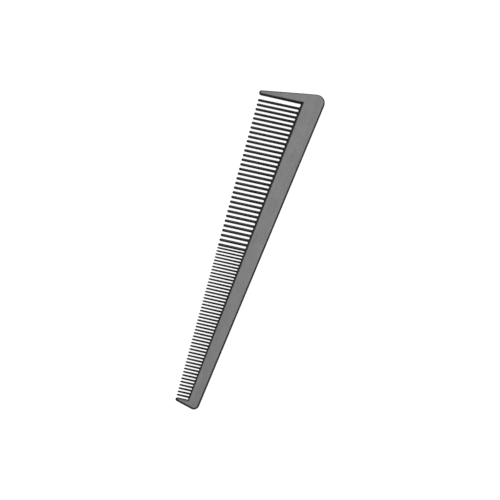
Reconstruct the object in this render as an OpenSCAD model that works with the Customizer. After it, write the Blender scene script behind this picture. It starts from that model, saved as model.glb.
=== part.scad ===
// Tapered barber comb, lying flat on one face. Its straight back thins from heel to toe,
// with coarse teeth in the heel half, fine teeth in the toe half and a guard at each end.
// The real comb is one moulding. Here its regions are nodes that meet face to face.
// +X runs from heel to toe along the back, +Y points to the back edge, and +Z is up
// through the thickness. The origin is the bottom centre of the bounding box, in mm.

/* [Plate] */
// Overall length along the back edge
comb_l = 178; // [165:1:195]
// Overall width, from the back edge to the tip of the heel guard
comb_w = 35.3; // [34.5:0.1:38]
// Thickness of the spine and the guards
comb_t = 3.6; // [3:0.1:4.5]
// Width of the spine at the heel end
spine_w_heel = 12.3; // [10:0.1:14]
// Width of the spine at the toe end
spine_w_toe = 6.4; // [5.6:0.1:7]
// Width of the bevel along every outer edge, seen from above
bevel_w = 0.8; // [0.4:0.05:0.9]
// Width of the broader bevel along the roots of the teeth, at the heel end
root_bevel_heel = 1.5; // [0.8:0.05:1.8]
// Width of that bevel at the toe end
root_bevel_toe = 0.9; // [0.6:0.05:1.3]
// Height of every bevel
bevel_h = 0.6; // [0.3:0.05:0.7]

/* [Corners] */
// Radius of the corner between back and heel
heel_corner_r = 4.6; // [3:0.1:5]
// Radius of the corner between back and toe
toe_corner_r = 2.8; // [2:0.1:3.2]

/* [Guards] */
// From the heel end to the heel guard's inner edge, on the root line
heel_guard_w = 7.9; // [7.2:0.1:9]
// Radius of the heel guard's tip
heel_tip_r = 1.33; // [1.1:0.01:1.5]
// From the toe end to the toe guard's inner edge, on the root line
toe_guard_w = 3.52; // [3.3:0.02:4.5]
// From the back edge to the tip of the toe guard
toe_reach = 12.5; // [11.5:0.1:14]
// Radius of the toe guard's tip
toe_tip_r = 0.95; // [0.85:0.05:1.1]
// Thickness of both guards at their tips
guard_tip_t = 2.4; // [1.6:0.1:3]

/* [Teeth] */
// Lean of the teeth and of the guards' inner edges towards the toe, in degrees
lean = 9.95; // [9:0.05:11]
// Number of coarse teeth
coarse_n = 32; // [24:1:34]
// Number of fine teeth
fine_n = 47; // [36:1:50]
// Length of the coarse row, from the heel guard to its last tooth
coarse_l = 84.87; // [75:0.01:95]
// Width of a coarse tooth at its root
coarse_root_w = 1.55; // [1:0.05:1.8]
// Width of a coarse tooth near its tip
coarse_tip_w = 1.5; // [0.8:0.05:1.5]
// Width of a fine tooth at its root
fine_root_w = 1.08; // [0.7:0.02:1.1]
// Width of a fine tooth near its tip
fine_tip_w = 0.9; // [0.5:0.05:1]
// Thickness of every tooth at its root
tooth_root_t = 2.4; // [1.8:0.1:2.4]
// Thickness of every tooth near its tip
tooth_tip_t = 1.6; // [0.8:0.1:1.8]
// From the back edge to the line of the tooth tips, at the heel end
tips_heel = 36.3; // [34:0.1:36.5]
// From the back edge to the line of the tooth tips, at the toe end
tips_toe = 12.35; // [11:0.05:13]

/* [Hidden] */
plastic = "#464648";
$fn = 64;

heel_x = -comb_l / 2;
toe_x = comb_l / 2;
back_y = comb_w / 2;
root_slope = (spine_w_heel - spine_w_toe) / comb_l;
root_angle = atan(root_slope);
tip_slope = (tips_heel - tips_toe) / comb_l;

// The mouth is the length of root line between the two guards.
mouth_x0 = heel_x + heel_guard_w;
mouth_x1 = toe_x - toe_guard_w;
// From a guard's edge to the middle of the tooth next to it, in pitches of that tooth's row.
first_gap = 1.13;
last_gap = 0.78;
// From the last coarse tooth to the first fine one, in fine pitches.
row_gap = 1.07;
coarse_pitch = coarse_l / (coarse_n - 1 + first_gap);
fine_pitch = (mouth_x1 - mouth_x0 - coarse_l) / (row_gap + fine_n - 1 + last_gap);
last_coarse_x = mouth_x0 + coarse_l;
first_fine_x = last_coarse_x + row_gap * fine_pitch;

// Reach of the half spaces and cutters past the comb, and a sliver of thickness.
margin = 5;
skin = 0.01;
// Length of the stretch of each guard, below the root line, that keeps the full thickness.
root_band = 1;
// Angle between the flats that round a tooth's tip.
tip_step = 30;

// Height in y of the root line and of the line of tooth tips, at x.
function root_y(x) = back_y - spine_w_heel + root_slope * (x - heel_x);
function tips_y(x) = back_y - tips_heel + tip_slope * (x - heel_x);

// A tooth that leaves the root line at x ends where its axis meets the line of tips.
function tooth_length(x) =
    (root_y(x) - tips_y(x)) / (cos(lean) + tip_slope * sin(lean));

// Point on a guard's inner edge, at a height y, when the edge crosses the root line at x.
function inner_edge(x, y) = [x + (root_y(x) - y) * tan(lean), y];

// Half circle of radius r whose crown is at -length.
function crown(length, r) =
    [for (a = [0 : tip_step : 180]) [r * cos(a), r - length - r * sin(a)]];

module heel_corner() translate([heel_x + heel_corner_r, back_y - heel_corner_r])
    circle(heel_corner_r);

module toe_corner() translate([toe_x - toe_corner_r, back_y - toe_corner_r])
    circle(toe_corner_r);

// Each tip circle touches its guard's inner edge from the outside.
module heel_tip() translate(
    inner_edge(mouth_x0, heel_tip_r - back_y) - [heel_tip_r / cos(lean), 0])
    circle(heel_tip_r);

module toe_tip() translate(
    inner_edge(mouth_x1, back_y - toe_reach + toe_tip_r) + [toe_tip_r / cos(lean), 0])
    circle(toe_tip_r);

// Plan of the whole comb as if the mouth were filled in.
module outer_plan() hull() {
    heel_corner();
    toe_corner();
    toe_tip();
    heel_tip();
}

// Plan of a guard, with its inner edge carried on up to the back.
module heel_plan() hull() {
    heel_corner();
    heel_tip();
    translate(inner_edge(mouth_x0, back_y)) circle(skin, $fn = 4);
}

module toe_plan() hull() {
    toe_corner();
    toe_tip();
    translate(inner_edge(mouth_x1, back_y)) circle(skin, $fn = 4);
}

// Corner of the mouth on the root line at x, when the mouth is grown by so many bevels.
// side is -1 at the heel guard and 1 at the toe guard.
function mouth_corner(x, side, root_bevel, grow) =
    let (
        out = side * grow * bevel_w / cos(lean),
        up = grow * root_bevel / cos(root_angle),
        shift = (out - up * tan(lean)) / (1 + root_slope * tan(lean))
    )
    [x + shift, root_y(x + shift) + up];

// Plan of the mouth, grown by so many bevels, from the root line down past the tooth tips.
module mouth_plan(grow) {
    out = [grow * bevel_w / cos(lean), 0];
    polygon([
        mouth_corner(mouth_x0, -1, root_bevel_heel, grow),
        mouth_corner(mouth_x1, 1, root_bevel_toe, grow),
        inner_edge(mouth_x1, -comb_w) + out,
        inner_edge(mouth_x0, -comb_w) - out
    ]);
}

// Plate of full thickness with both rims of its convex plan bevelled.
module bevelled() hull() {
    translate([0, 0, bevel_h]) linear_extrude(comb_t - 2 * bevel_h) children();
    linear_extrude(comb_t) offset(delta = -bevel_w) children();
}

// Flared cutter that bevels the upper rim of the mouth. It starts one bevel lower
// and narrower than the rim, so its slopes pass through the rim's edge.
module mouth_bevel() hull() {
    translate([0, 0, comb_t - 2 * bevel_h - skin]) linear_extrude(skin) mouth_plan(-1);
    translate([0, 0, comb_t]) linear_extrude(margin) mouth_plan(1);
}

// Strip of the plane just below the root line.
module root_strip() translate([heel_x, root_y(heel_x)]) rotate(root_angle)
    translate([-margin, -root_band]) square([comb_l + 2 * margin, root_band]);

// Guard with both rims bevelled. Its plan and the disc of its tip are the two children.
// It keeps the full thickness in the root strip and thins evenly from there to the tip.
module guard() hull() {
    translate([0, 0, bevel_h]) linear_extrude(comb_t - 2 * bevel_h) intersection() {
        children(0);
        root_strip();
    }
    linear_extrude(comb_t) intersection() {
        offset(delta = -bevel_w) children(0);
        root_strip();
    }
    translate([0, 0, comb_t / 2]) {
        linear_extrude(guard_tip_t - 2 * bevel_h, center = true) children(1);
        linear_extrude(guard_tip_t, center = true) offset(delta = -bevel_w) children(1);
    }
}

// Everything on the back's side of the root line.
module back_side() translate([heel_x, root_y(heel_x), -margin]) rotate(root_angle)
    translate([-margin, 0, 0]) cube([comb_l + 2 * margin, comb_w, comb_t + 2 * margin]);

// Tooth with its root on the root line at x, tapered in width and in thickness.
module tooth(x, root_w, tip_w) {
    length = tooth_length(x);
    skew = tan(root_angle - lean);
    foot = [[-root_w / 2, -root_w / 2 * skew], [root_w / 2, root_w / 2 * skew]];
    side = [for (p = crown(length, tooth_tip_t / 2)) [p[1], p[0]]];
    translate([x, root_y(x), comb_t / 2]) rotate(lean) intersection() {
        linear_extrude(comb_t, center = true) polygon(concat(foot, crown(length, tip_w / 2)));
        rotate([90, 0, 90]) linear_extrude(2 * root_w, center = true)
            polygon(concat([[0, -tooth_root_t / 2], [root_w, -tooth_root_t / 2],
                [root_w, tooth_root_t / 2], [0, tooth_root_t / 2]], side));
    }
}

module spine() color(plastic) difference() {
    intersection() {
        bevelled() outer_plan();
        back_side();
    }
    mouth_bevel();
    translate([0, 0, comb_t]) mirror([0, 0, 1]) mouth_bevel();
}

module heel_guard() color(plastic) guard() {
    heel_plan();
    heel_tip();
}

module toe_guard() color(plastic) guard() {
    toe_plan();
    toe_tip();
}

module coarse_teeth() color(plastic) for (i = [0 : coarse_n - 1])
    tooth(last_coarse_x - i * coarse_pitch, coarse_root_w, coarse_tip_w);

module fine_teeth() color(plastic) for (i = [0 : fine_n - 1])
    tooth(first_fine_x + i * fine_pitch, fine_root_w, fine_tip_w);

spine();
heel_guard();
toe_guard();
coarse_teeth();
fine_teeth();
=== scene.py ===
"""A tapered barber comb: one moulding in near-black carbon-filled plastic, lying flat on a pale light table.

The plate (spine and two guards) is a rim profile carried round each piece's plan, and the teeth are
tapered bars with rounded sections. Lengths are in millimetres until a mesh is made."""

import math

import bpy
import numpy as np
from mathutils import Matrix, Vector


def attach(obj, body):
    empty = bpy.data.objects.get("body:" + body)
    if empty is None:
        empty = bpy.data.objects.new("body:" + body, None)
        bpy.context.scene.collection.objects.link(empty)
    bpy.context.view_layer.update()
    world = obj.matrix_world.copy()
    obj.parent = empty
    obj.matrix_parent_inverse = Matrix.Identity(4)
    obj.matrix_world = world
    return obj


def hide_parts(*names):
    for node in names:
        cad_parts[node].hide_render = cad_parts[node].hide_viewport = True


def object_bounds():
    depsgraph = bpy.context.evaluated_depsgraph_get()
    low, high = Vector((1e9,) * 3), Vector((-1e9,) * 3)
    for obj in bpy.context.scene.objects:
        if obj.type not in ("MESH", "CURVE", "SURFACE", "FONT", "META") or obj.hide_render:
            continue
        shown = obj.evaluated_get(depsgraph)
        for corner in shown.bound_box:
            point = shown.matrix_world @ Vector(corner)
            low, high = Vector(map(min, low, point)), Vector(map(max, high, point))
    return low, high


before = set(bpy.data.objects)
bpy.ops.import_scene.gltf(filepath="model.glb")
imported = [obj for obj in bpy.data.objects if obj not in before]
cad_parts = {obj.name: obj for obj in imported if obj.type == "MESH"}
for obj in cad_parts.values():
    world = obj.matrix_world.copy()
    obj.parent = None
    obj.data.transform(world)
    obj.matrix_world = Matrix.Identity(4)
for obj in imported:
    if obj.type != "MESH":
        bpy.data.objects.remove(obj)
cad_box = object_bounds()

MM = 0.001

# ---------------------------------------------------------------- driving dimensions, in mm

cad_low, cad_high = (np.array(corner) / MM for corner in cad_box)
HEEL_X, TIPS_LOW_Y, UNDERSIDE_Z = cad_low
TOE_X, BACK_Y, TOP_Z = cad_high
COMB_L = TOE_X - HEEL_X
MID_Z = (UNDERSIDE_Z + TOP_Z) / 2
HALF_T = (TOP_Z - UNDERSIDE_Z) / 2

SPINE_W_HEEL = 12.3
SPINE_W_TOE = 6.4
HEEL_CORNER_R = 4.6
TOE_CORNER_R = 2.8
HEEL_GUARD_W = 7.9
HEEL_TIP_R = 1.33
TOE_GUARD_W = 3.52
TOE_REACH = 12.5
TOE_TIP_R = 0.95
GUARD_TIP_T = 2.4

# Lean of the teeth and of the guards' inner edges towards the toe.
LEAN = math.radians(9.95)
COARSE_N = 32
FINE_N = 47
COARSE_L = 84.87
# From a guard's edge to the middle of the tooth next to it, in pitches of that tooth's row, and from the last
# coarse tooth to the first fine one, in fine pitches.
FIRST_GAP = 1.13
LAST_GAP = 0.78
ROW_GAP = 1.07
# Width and thickness of the teeth, each at the root and at the tip.
COARSE_W = (1.55, 1.5)
FINE_W = (1.08, 0.9)
TOOTH_T = (2.4, 1.6)
# How far the line of tips lies from the back, at the heel and at the toe.
TIPS_HEEL = 36.3
TIPS_TOE = 12.35

ROOT_SLOPE = (SPINE_W_HEEL - SPINE_W_TOE) / COMB_L
ROOT_ANGLE = math.atan(ROOT_SLOPE)
TIPS_SLOPE = (TIPS_HEEL - TIPS_TOE) / COMB_L
MOUTH_X0 = HEEL_X + HEEL_GUARD_W
MOUTH_X1 = TOE_X - TOE_GUARD_W
COARSE_PITCH = COARSE_L / (COARSE_N - 1 + FIRST_GAP)
FINE_PITCH = (MOUTH_X1 - MOUTH_X0 - COARSE_L) / (ROW_GAP + FINE_N - 1 + LAST_GAP)

# The rims, each as (how far it reaches in from the edge, how far down from the face): along the back, down
# the heel, down the toe, along each guard's inner edge and round the heel guard's tip. The last two are the
# ends of the broad step along the roots, from the spine down to the teeth.
BACK_RIM = (0.8, 0.6)
HEEL_RIM = (0.95, 0.65)
TOE_RIM = (1.05, 0.8)
HEEL_GUARD_RIM = (0.75, 0.6)
TOE_GUARD_RIM = (0.7, 0.4)
TIP_RIM = (0.95, 0.7)
ROOT_RIM_HEEL = (1.5, 1.1)
ROOT_RIM_TOE = (0.9, 0.8)
# The rim's section is a quarter of a superellipse: 1 is a flat chamfer and 2 an ellipse.
RIM_POWER = 1.3
RIM_POINTS = 11
# Width of the level strip inside a rim, as a share of the rim.
LEVEL_STRIP = 0.12
# The line where the two halves of the mould met: a low ridge round the walls, as rows of (inset, lift).
SEAM_STEP = 0.03
SEAM = ((0, 0.04), (SEAM_STEP, 0.08), (SEAM_STEP + 0.004, 0.16))
WALL_DRAFT = math.tan(math.radians(1.5))
# Steps round each corner and guard tip, and the angle past which two faces meet in an edge.
HEEL_STEPS = 20
TOE_STEPS = 14
TIP_STEPS = 18
CREASE = math.radians(34)


def root_y(x):
    """Height of the root line at x: a straight line that closes on the back towards the toe."""
    return BACK_Y - SPINE_W_HEEL + ROOT_SLOPE * (x - HEEL_X)


def tips_y(x):
    """Height of the line of tooth tips at x."""
    return BACK_Y - TIPS_HEEL + TIPS_SLOPE * (x - HEEL_X)


def inner_edge(x, y):
    """Point at height y on the guard edge that crosses the root line at x and leans to the toe."""
    return np.array([x + (root_y(x) - y) * math.tan(LEAN), y])


# ---------------------------------------------------------------- plans
#
# A plan is a closed run of points, anticlockwise from above. Each row holds a point, the way it slides
# when the edge is set in by the whole width of its rim, and the height of that rim.

ROOT_NORMAL = np.array([math.sin(ROOT_ANGLE), -math.cos(ROOT_ANGLE)])
MOUTH_NORMAL_HEEL = np.array([math.cos(LEAN), math.sin(LEAN)])
MOUTH_NORMAL_TOE = -MOUTH_NORMAL_HEEL

HEEL_CORNER = np.array([HEEL_X + HEEL_CORNER_R, BACK_Y - HEEL_CORNER_R])
TOE_CORNER = np.array([TOE_X - TOE_CORNER_R, BACK_Y - TOE_CORNER_R])
HEEL_TIP = inner_edge(MOUTH_X0, TIPS_LOW_Y + HEEL_TIP_R) - [HEEL_TIP_R / math.cos(LEAN), 0]
TOE_TIP = inner_edge(MOUTH_X1, BACK_Y - TOE_REACH + TOE_TIP_R) + [TOE_TIP_R / math.cos(LEAN), 0]


def tangent_angle(c1, r1, c2, r2, side):
    """Angle of the outward normal of the line that touches two circles on one side of their centres.
    The normal's part along the centre line is the difference of radii over the distance."""
    across = c2 - c1
    return math.atan2(across[1], across[0]) + side * math.acos((r1 - r2) / np.hypot(*across))


HEEL_OUT = tangent_angle(HEEL_CORNER, HEEL_CORNER_R, HEEL_TIP, HEEL_TIP_R, -1) % (2 * math.pi)
TOE_OUT = tangent_angle(TOE_CORNER, TOE_CORNER_R, TOE_TIP, TOE_TIP_R, 1)


def unit(angle):
    """Unit vectors at these angles."""
    return np.stack([np.cos(angle), np.sin(angle)], -1)


def corner(point, normal_a, rim_a, normal_b, rim_b):
    """One row for a sharp corner between two edges, each given by its outward normal and its rim.
    The slide is the vector whose part along each normal is minus that edge's own rim width."""
    slide = np.linalg.solve(np.array([normal_a, normal_b]), [-rim_a[0], -rim_b[0]])
    return np.array([[*point, *slide, max(rim_a[1], rim_b[1])]])


def arc(centre, radius, start, stop, rim_a, rim_b, steps):
    """Rows of a round corner: points of a circle, each sliding straight in, by a rim that goes evenly
    from one size to the other."""
    normals = unit(np.linspace(start, stop, steps + 1))
    rims = np.linspace(rim_a, rim_b, steps + 1)
    return np.concatenate([centre + radius * normals, -normals * rims[:, :1], rims[:, 1:]], 1)


def meet(point_a, normal_a, point_b, normal_b):
    """Where two lines cross, each given by a point and its normal."""
    return np.linalg.solve(
        np.array([normal_a, normal_b]), [np.dot(normal_a, point_a), np.dot(normal_b, point_b)]
    )


ROOT_HEEL = np.array([MOUTH_X0, root_y(MOUTH_X0)])
ROOT_TOE = np.array([MOUTH_X1, root_y(MOUTH_X1)])
HEEL_FOOT = meet(HEEL_TIP + HEEL_TIP_R * unit(HEEL_OUT), unit(HEEL_OUT), ROOT_HEEL, ROOT_NORMAL)
TOE_FOOT = meet(TOE_TIP + TOE_TIP_R * unit(TOE_OUT), unit(TOE_OUT), ROOT_HEEL, ROOT_NORMAL)


def spine_plan():
    """Root line, toe, back and heel. On the cut faces under the guards nothing slides across the cut."""
    no_rim_toe_foot, no_rim_heel_foot = (0, TOE_RIM[1]), (0, HEEL_RIM[1])
    no_rim_heel, no_rim_toe = (0, HEEL_GUARD_RIM[1]), (0, TOE_GUARD_RIM[1])
    return np.concatenate(
        [
            corner(ROOT_HEEL, MOUTH_NORMAL_HEEL, HEEL_GUARD_RIM, ROOT_NORMAL, ROOT_RIM_HEEL),
            corner(ROOT_TOE, ROOT_NORMAL, ROOT_RIM_TOE, MOUTH_NORMAL_TOE, TOE_GUARD_RIM),
            corner(ROOT_TOE, MOUTH_NORMAL_TOE, TOE_GUARD_RIM, ROOT_NORMAL, no_rim_toe),
            corner(TOE_FOOT, ROOT_NORMAL, no_rim_toe_foot, unit(TOE_OUT), TOE_RIM),
            arc(TOE_CORNER, TOE_CORNER_R, TOE_OUT, math.pi / 2, TOE_RIM, BACK_RIM, TOE_STEPS),
            arc(HEEL_CORNER, HEEL_CORNER_R, math.pi / 2, HEEL_OUT, BACK_RIM, HEEL_RIM, HEEL_STEPS),
            corner(HEEL_FOOT, unit(HEEL_OUT), HEEL_RIM, ROOT_NORMAL, no_rim_heel_foot),
            corner(ROOT_HEEL, ROOT_NORMAL, no_rim_heel, MOUTH_NORMAL_HEEL, HEEL_GUARD_RIM),
        ]
    )


def heel_guard_plan():
    """Cut face, outer edge, round tip and inner edge of the broad guard."""
    return np.concatenate(
        [
            corner(ROOT_HEEL, MOUTH_NORMAL_HEEL, HEEL_GUARD_RIM, ROOT_NORMAL, (0, 0)),
            corner(HEEL_FOOT, ROOT_NORMAL, (0, 0), unit(HEEL_OUT), HEEL_RIM),
            arc(HEEL_TIP, HEEL_TIP_R, HEEL_OUT, 2 * math.pi + LEAN, TIP_RIM, TIP_RIM, TIP_STEPS),
        ]
    )


def toe_guard_plan():
    """Cut face, inner edge, round tip and outer edge of the short guard."""
    return np.concatenate(
        [
            corner(TOE_FOOT, unit(TOE_OUT), TOE_RIM, ROOT_NORMAL, (0, 0)),
            corner(ROOT_TOE, ROOT_NORMAL, (0, 0), MOUTH_NORMAL_TOE, TOE_GUARD_RIM),
            arc(TOE_TIP, TOE_TIP_R, math.pi + LEAN, 2 * math.pi + TOE_OUT, TOE_GUARD_RIM, TOE_RIM, TIP_STEPS),
        ]
    )


# ---------------------------------------------------------------- meshes


def piece(name, node, points, faces, flat, burnish):
    """A mesh from points in mm and rows of corner numbers, which rides on the comb and replaces its CAD node.
    Faces whose number is in flat are shaded flat, and burnish says how far use has polished each point."""
    mesh = bpy.data.meshes.new(name)
    mesh.from_pydata(points * MM, [], faces)
    smooth = np.ones(len(faces), bool)
    smooth[list(flat)] = False
    mesh.polygons.foreach_set("use_smooth", smooth)
    mesh.set_sharp_from_angle(angle=CREASE)
    mesh.attributes.new("burnish", "FLOAT", "POINT").data.foreach_set("value", burnish)
    made = bpy.data.objects.new(name, mesh)
    bpy.context.scene.collection.objects.link(made)
    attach(made, "root")
    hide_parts(node)
    return made


def bulge(turn, power):
    """Points of a superellipse of unit size at these angles: the cosine and the sine, each raised to
    two over the power with its sign kept."""
    c, s = np.cos(turn), np.sin(turn)
    return np.sign(c) * np.abs(c) ** (2 / power), np.sign(s) * np.abs(s) ** (2 / power)


def rim_profile():
    """Side of the plate above the middle, as rows of (inset, lift, rise). The inset is a share of the rim's
    width, the lift a share of the wall below the rim, and the rise a share of the rim's height. It is half
    the mould line, a wall with a little draft, a quarter of a superellipse up to the face, and a narrow level
    strip that keeps the face's shading flat."""
    foot = SEAM_STEP + WALL_DRAFT * (HALF_T - BACK_RIM[1])
    out, up = bulge(np.linspace(0, math.pi / 2, RIM_POINTS), RIM_POWER)
    rim = np.stack([foot + (1 - foot) * (1 - out), np.ones_like(up), up], 1)
    seam = [[inset, lift, 0] for inset, lift in SEAM]
    return np.concatenate([seam, rim, [[1 + LEVEL_STRIP, 1, 1]]])


def plate_piece(name, node, plan, tip_y=None):
    """The rim profile carried round a plan. Ring by ring, each plan point slides in by the profile's inset,
    and the first and last rings are closed by the flat faces. Between the root line and tip_y the half
    thickness falls evenly to that of a guard's tip. Use polishes the rim most at half its height."""
    inset, lift, rise = rim_profile().T[..., None]
    base, slides, rim_h = plan[:, :2], plan[:, 2:4], plan[:, 4]
    spread = base + inset[..., None] * slides
    half_t = HALF_T
    if tip_y is not None:
        reach = root_y(spread[..., 0]) - spread[..., 1]
        half_t = HALF_T - (HALF_T - GUARD_TIP_T / 2) * reach / (root_y(plan[-1, 0]) - tip_y)
    height = lift * (half_t - rim_h) + rise * rim_h
    upper = np.concatenate([spread, MID_Z + height[..., None]], 2)
    lower = np.concatenate([spread, MID_Z - height[..., None]], 2)[::-1]
    rings = np.concatenate([lower, upper])
    count, n = rings.shape[:2]
    low = np.arange(count - 1)[:, None] * n + np.arange(n)
    turned = np.arange(count - 1)[:, None] * n + (np.arange(n) + 1) % n
    walls = np.stack([low, turned, turned + n, low + n], 2).reshape(-1, 4)
    underside = np.arange(n)[::-1]
    top = (count - 1) * n + np.arange(n)
    faces = [*walls.tolist(), underside.tolist(), top.tolist()]
    shoulder = np.repeat(np.sin(math.pi * rise[:, 0]), n)
    burnish = np.concatenate([shoulder[::-1], shoulder])
    return piece(name, node, rings.reshape(-1, 3), faces, (len(faces) - 2, len(faces) - 1), burnish)


TIP_ROUND = 0.8
COARSE_FILLET = 0.45
FINE_FILLET = 0.28
# Each tooth runs on into the root rim as a low ridge, which ends at this share of the rim, this far under
# the face, and climbs as this power of the distance.
RIDGE_REACH = 0.95
RIDGE_SINK = 0.02
RIDGE_CLIMB = 0.6
# The superellipse powers of the sections of a tooth and of the ridge's end.
TOOTH_SECTION = 1.25
RIDGE_SECTION = 2.0
AROUND = 20
# Where a tooth's rings lie: shares of the ridge, of the fillet and of the shaft, and angles of the tip.
RIDGE_RINGS = np.array([1.0, 0.8, 0.6, 0.4, 0.2, 0.08])
FILLET_RINGS = np.array([0.06, 0.2, 0.45, 1.0])
SHAFT_RINGS = np.linspace(0.2, 0.8, 4)
TIP_RINGS = np.radians([0, 18, 36, 52, 67, 80])
# The ring past the fillet, and the distance from the root at which the rings stand square to the tooth.
SHAFT_START = 1.2
SQUARE_FROM = 3


def tooth_rows(root_x, widths, fillet):
    """All the teeth of a row: points (tooth, ring, around, 3), the point of each tip, and each ring's polish,
    which is the square of its share of the length. A tooth is a stack of superellipses along its axis. Half
    width and half thickness taper evenly from root to tip and close by a quarter ellipse, and the half width
    flares by a quarter circle at the root. Rings near the root tilt to lie on the root line, and above it
    the half thickness climbs the root rim as a power of the distance."""
    length = (root_y(root_x) - tips_y(root_x)) / (math.cos(LEAN) + TIPS_SLOPE * math.sin(LEAN))
    rim_w = np.interp(root_x, [MOUTH_X0, MOUTH_X1], [ROOT_RIM_HEEL[0], ROOT_RIM_TOE[0]])[:, None]
    ridge = -RIDGE_REACH * rim_w * RIDGE_RINGS
    near_root = np.array([0, *(fillet * FILLET_RINGS), SHAFT_START])
    length = length[:, None]
    along = np.concatenate(
        [
            ridge,
            np.broadcast_to(near_root, (len(root_x), len(near_root))),
            SHAFT_RINGS * (length - TIP_ROUND),
            length - TIP_ROUND + TIP_ROUND * np.sin(TIP_RINGS),
        ],
        1,
    )
    share = np.clip(along / length, 0, 1)
    open_rings = along.shape[1] - len(TIP_RINGS)
    closing = np.concatenate([np.ones(open_rings), np.cos(TIP_RINGS)])
    near = np.clip(1 - along / fillet, 0, 1)
    flare = fillet * (1 - np.sqrt(1 - near**2))
    half_w = (widths[0] + (widths[1] - widths[0]) * share) / 2 * closing + flare
    climb = np.clip(-along / (RIDGE_REACH * rim_w), 0, 1) ** RIDGE_CLIMB
    half_t = (TOOTH_T[0] + (TOOTH_T[1] - TOOTH_T[0]) * share) / 2 * closing
    half_t += (HALF_T - RIDGE_SINK - TOOTH_T[0] / 2) * climb
    power = TOOTH_SECTION + (RIDGE_SECTION - TOOTH_SECTION) * climb[..., None]
    wide, thick = bulge(np.linspace(0, 2 * math.pi, AROUND, endpoint=False), power)
    across = half_w[..., None] * wide
    up = half_t[..., None] * thick
    tilt = math.tan(ROOT_ANGLE - LEAN) * np.clip(1 - along / SQUARE_FROM, 0, 1)[..., None]
    down = -along[..., None] + tilt * across
    c, s = math.cos(LEAN), math.sin(LEAN)
    x = root_x[:, None, None] + c * across - s * down
    y = root_y(root_x)[:, None, None] + s * across + c * down
    rings = np.stack([x, y, MID_Z + up], 3)
    crown = length[:, 0]
    poles = np.stack([root_x + s * crown, root_y(root_x) - c * crown, np.full(len(root_x), MID_Z)], 1)
    return rings, poles, share**2


def teeth_piece(name, node, root_x, widths, fillet):
    """The rings of every tooth joined into skins, with a cap at the root and a fan at the tip."""
    rings, poles, polish = tooth_rows(root_x, widths, fillet)
    teeth, stack, n = rings.shape[:3]
    each = stack * n + 1
    points = np.concatenate([rings.reshape(teeth, -1, 3), poles[:, None]], 1).reshape(-1, 3)
    step = np.arange(stack - 1)[:, None] * n
    here, there = step + np.arange(n), step + (np.arange(n) + 1) % n
    skin = np.stack([there, here, here + n, there + n], 2).reshape(-1, 4)
    last = (stack - 1) * n
    fan = np.stack([last + (np.arange(n) + 1) % n, last + np.arange(n), np.full(n, each - 1)], 1)
    first = np.arange(teeth)[:, None, None] * each
    faces = (first + skin).reshape(-1, 4).tolist()
    faces += (first + fan).reshape(-1, 3).tolist()
    caps = (first[:, :, 0] + np.arange(n)).tolist()
    flat = range(len(faces), len(faces) + teeth)
    burnish = np.concatenate([np.repeat(polish, n, axis=1), np.ones((teeth, 1))], 1).ravel()
    return piece(name, node, points, faces + caps, flat, burnish)


# ---------------------------------------------------------------- materials


def linear(code):
    """An sRGB hex colour as linear red, green, blue and alpha."""
    srgb = np.array([int(code[i : i + 2], 16) for i in (1, 3, 5)]) / 255
    return (*np.where(srgb <= 0.04045, srgb / 12.92, ((srgb + 0.055) / 1.055) ** 2.4), 1.0)


def add(tree, kind, settings=None, **links):
    """Adds a node. settings are its own properties. Each link names an input, with _ for a space, or is _ and
    the input's number, and holds another node's output or a plain value."""
    made = tree.nodes.new(kind)
    for key, value in (settings or {}).items():
        setattr(made, key, value)
    for key, value in links.items():
        socket = made.inputs[int(key[1:]) if key[1:].isdigit() else key.replace("_", " ")]
        if isinstance(value, bpy.types.NodeSocket):
            tree.links.new(value, socket)
        else:
            socket.default_value = value
    return made


def new_material(name):
    """An empty node material and its tree."""
    material = bpy.data.materials.new(name)
    material.use_nodes = True
    material.node_tree.nodes.clear()
    return material, material.node_tree


# The patterns, each as (size of its cells in mm along x, y and z, detail of the noise). The grain of such a
# tool is near 0.1 mm, and is drawn coarser here so that it shows.
GRAIN = ((0.45, 0.45, 0.45), 3.0)
MOTTLE = ((6, 6, 6), 4.0)
FLOW = ((30, 3, 3), 2.0)
WIPE = ((16, 0.22, 0.22), 1.0)
GRAIN_DEPTH = 0.05
BODY_ROUGHNESS = (0.36, 0.42)
BURNISHED_ROUGHNESS = 0.3
# How much smoother a wiping mark is than the plastic round it, and its depth as a share of the grain's.
MARK_SHINE = 0.05
MARK_CUT = 0.25
# The levels of the noise between which each effect comes in.
CLOUD_LEVELS = (0.35, 0.65)
STREAK_LEVELS = (0.38, 0.62)
MARK_LEVELS = (0.7, 0.78)
WORN_LEVELS = (0.3, 0.6)


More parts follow.
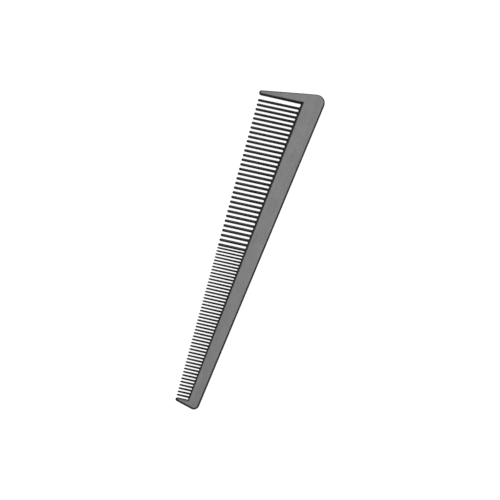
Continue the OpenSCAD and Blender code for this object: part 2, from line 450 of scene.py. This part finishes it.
def moulded_plastic():
    """Carbon-filled comb plastic, injection moulded in a fine spark-eroded tool: near black and satin, with
    an even grain, faint flow lines along the comb, hairlines from wiping, and rims and tips burnished by
    use."""
    material, tree = new_material("carbon_filled_moulded_plastic")
    place = add(tree, "ShaderNodeTexCoord").outputs["Object"]
    noises = []
    for cell, detail in (GRAIN, MOTTLE, FLOW, WIPE):
        shrink = [1 / (side * MM) for side in cell]
        shrunk = add(tree, "ShaderNodeVectorMath", {"operation": "MULTIPLY"}, _0=place, _1=shrink)
        noise = add(tree, "ShaderNodeTexNoise", Vector=shrunk.outputs[0], Scale=1.0, Detail=detail)
        noises.append(noise.outputs["Fac"])
    grain, mottle, flow, wipe = noises
    cloud = add(tree, "ShaderNodeMix", Factor=0.5, A=flow, B=mottle).outputs["Result"]

    effects = []
    for pattern, levels in ((cloud, STREAK_LEVELS), (wipe, MARK_LEVELS), (mottle, WORN_LEVELS)):
        ramp = add(tree, "ShaderNodeMapRange", Value=pattern, From_Min=levels[0], From_Max=levels[1])
        effects.append(ramp.outputs["Result"])
    streak, mark, worn = effects
    polish = add(tree, "ShaderNodeAttribute", {"attribute_name": "burnish"}).outputs["Fac"]
    rubbed = add(tree, "ShaderNodeMath", {"operation": "MULTIPLY"}, _0=polish, _1=worn).outputs[0]

    body = add(
        tree,
        "ShaderNodeMapRange",
        Value=cloud,
        From_Min=CLOUD_LEVELS[0],
        From_Max=CLOUD_LEVELS[1],
        To_Min=BODY_ROUGHNESS[0],
        To_Max=BODY_ROUGHNESS[1],
    ).outputs["Result"]
    body = add(tree, "ShaderNodeMix", Factor=rubbed, A=body, B=BURNISHED_ROUGHNESS).outputs["Result"]
    rough = add(tree, "ShaderNodeMath", {"operation": "MULTIPLY_ADD"}, _0=mark, _1=-MARK_SHINE, _2=body)
    black, worn_black, streak_black = linear("#1a1a1b"), linear("#202021"), linear("#1f1f20")
    tint = add(tree, "ShaderNodeMix", {"data_type": "RGBA"}, _0=streak, _6=black, _7=streak_black).outputs[2]
    tint = add(tree, "ShaderNodeMix", {"data_type": "RGBA"}, _0=rubbed, _6=tint, _7=worn_black).outputs[2]
    relief = add(tree, "ShaderNodeMath", {"operation": "MULTIPLY_ADD"}, _0=mark, _1=-MARK_CUT, _2=grain)
    bump = add(tree, "ShaderNodeBump", Height=relief.outputs[0], Strength=1.0, Distance=GRAIN_DEPTH * MM)
    shader = add(
        tree,
        "ShaderNodeBsdfPrincipled",
        Base_Color=tint,
        Roughness=rough.outputs[0],
        Normal=bump.outputs["Normal"],
    )
    add(tree, "ShaderNodeOutputMaterial", Surface=shader.outputs[0])
    return material


TABLE_GLOW = 0.96


def light_table():
    """White acrylic top of a light table, lit from below, so the shadows on it stay faint."""
    material, tree = new_material("opal_acrylic")
    shader = add(
        tree,
        "ShaderNodeBsdfPrincipled",
        Base_Color=linear("#404040"),
        Roughness=0.6,
        Emission_Color=linear("#ffffff"),
        Emission_Strength=TABLE_GLOW,
    )
    add(tree, "ShaderNodeOutputMaterial", Surface=shader.outputs[0])
    return material


# ---------------------------------------------------------------- the comb

plastic = moulded_plastic()
coarse_x = MOUTH_X0 + COARSE_L - COARSE_PITCH * np.arange(COARSE_N)
fine_x = MOUTH_X0 + COARSE_L + FINE_PITCH * (ROW_GAP + np.arange(FINE_N))
pieces = [
    plate_piece("spine_bar", "spine", spine_plan()),
    plate_piece("heel_guard_tooth", "heel_guard", heel_guard_plan(), TIPS_LOW_Y),
    plate_piece("toe_guard_tooth", "toe_guard", toe_guard_plan(), BACK_Y - TOE_REACH),
    teeth_piece("coarse_row", "coarse_teeth", coarse_x, COARSE_W, COARSE_FILLET),
    teeth_piece("fine_row", "fine_teeth", fine_x, FINE_W, FINE_FILLET),
]
for made in pieces:
    made.data.materials.append(plastic)

# ---------------------------------------------------------------- floor, light and camera


def area_light(name, centre, target, size, power):
    """A soft rectangular lamp at centre that faces target, all in mm."""
    lamp = bpy.data.lights.new(name, "AREA")
    lamp.shape = "RECTANGLE"
    lamp.size, lamp.size_y = size[0] * MM, size[1] * MM
    lamp.energy = power
    made = bpy.data.objects.new(name, lamp)
    made.location = Vector(centre) * MM
    made.rotation_euler = (Vector(target) - Vector(centre)).to_track_quat("-Z", "Y").to_euler()
    bpy.context.scene.collection.objects.link(made)


FLOOR_HALF = 3000
FLOOR_GAP = 0.02
floor_mesh = bpy.data.meshes.new("light_table")
floor_mesh.from_pydata(
    np.array([[-1, -1, 0], [1, -1, 0], [1, 1, 0], [-1, 1, 0]]) * FLOOR_HALF * MM, [], [(0, 1, 2, 3)]
)
floor = bpy.data.objects.new("light_table", floor_mesh)
floor.location.z = (UNDERSIDE_Z - FLOOR_GAP) * MM
floor.visible_glossy = False
floor_mesh.materials.append(light_table())
bpy.context.scene.collection.objects.link(floor)

# The studio that the plastic reflects, by the z and y parts of a direction: dim above, with pale walls that
# fade in from WALL_TOP down to WALL_FULL, are brightest behind the back edge, and end just under the horizon.
# The camera sees plain white instead.
CEILING = 0.04
WALLS = 0.36
WALLS_LEAN = 0.28
WALL_TOP = 0.42
WALL_FULL = 0.1
HORIZON = (-0.05, 0.02)

world = bpy.data.worlds.new("studio")
bpy.context.scene.world = world
world.use_nodes = True
studio = world.node_tree
studio.nodes.clear()
direction = add(studio, "ShaderNodeTexCoord").outputs["Generated"]
split = add(studio, "ShaderNodeSeparateXYZ", Vector=direction).outputs
under_top = add(studio, "ShaderNodeMapRange", Value=split["Z"], From_Min=WALL_TOP, From_Max=WALL_FULL)
over_floor = add(studio, "ShaderNodeMapRange", Value=split["Z"], From_Min=HORIZON[0], From_Max=HORIZON[1])
band = add(
    studio,
    "ShaderNodeMath",
    {"operation": "MULTIPLY"},
    _0=under_top.outputs["Result"],
    _1=over_floor.outputs["Result"],
).outputs[0]
wall = add(studio, "ShaderNodeMath", {"operation": "MULTIPLY_ADD"}, _0=split["Y"], _1=WALLS_LEAN, _2=WALLS)
dim = add(studio, "ShaderNodeMath", {"operation": "MULTIPLY_ADD"}, _0=wall.outputs[0], _1=band, _2=CEILING)
seen = add(studio, "ShaderNodeLightPath").outputs["Is Camera Ray"]
glow = add(studio, "ShaderNodeMix", Factor=seen, A=dim.outputs[0], B=1.0).outputs["Result"]
sky = add(studio, "ShaderNodeBackground", Color=(1, 1, 1, 1), Strength=glow)
add(studio, "ShaderNodeOutputWorld", Surface=sky.outputs[0])

# The overhead box lights the faces, and the backdrop stands behind the heel.
area_light("overhead_box", centre=(-234, -85, 1000), target=(-234, -85, 0), size=(1400, 560), power=19.2)
area_light("backdrop", centre=(-950, -60, 480), target=(0, 0, 300), size=(560, 900), power=7.5)

LENS = 50
SENSOR_W = 36
TARGET = Vector((2.69, 10.79, MID_Z))
DISTANCE = 362.4
AZIMUTH, ELEVATION = math.radians(112.6), math.radians(82.15)
back = Vector(
    (
        math.sin(AZIMUTH) * math.cos(ELEVATION),
        -math.cos(AZIMUTH) * math.cos(ELEVATION),
        math.sin(ELEVATION),
    )
)
camera_data = bpy.data.cameras.new("camera")
camera_data.lens = LENS
camera_data.sensor_width = SENSOR_W
camera = bpy.data.objects.new("camera", camera_data)
camera.location = (TARGET + back * DISTANCE) * MM
camera.rotation_euler = back.to_track_quat("Z", "Y").to_euler()
camera_data.clip_start, camera_data.clip_end = 0.01, 20
bpy.context.scene.collection.objects.link(camera)
bpy.context.scene.camera = camera

bpy.context.scene.view_settings.view_transform = "Standard"
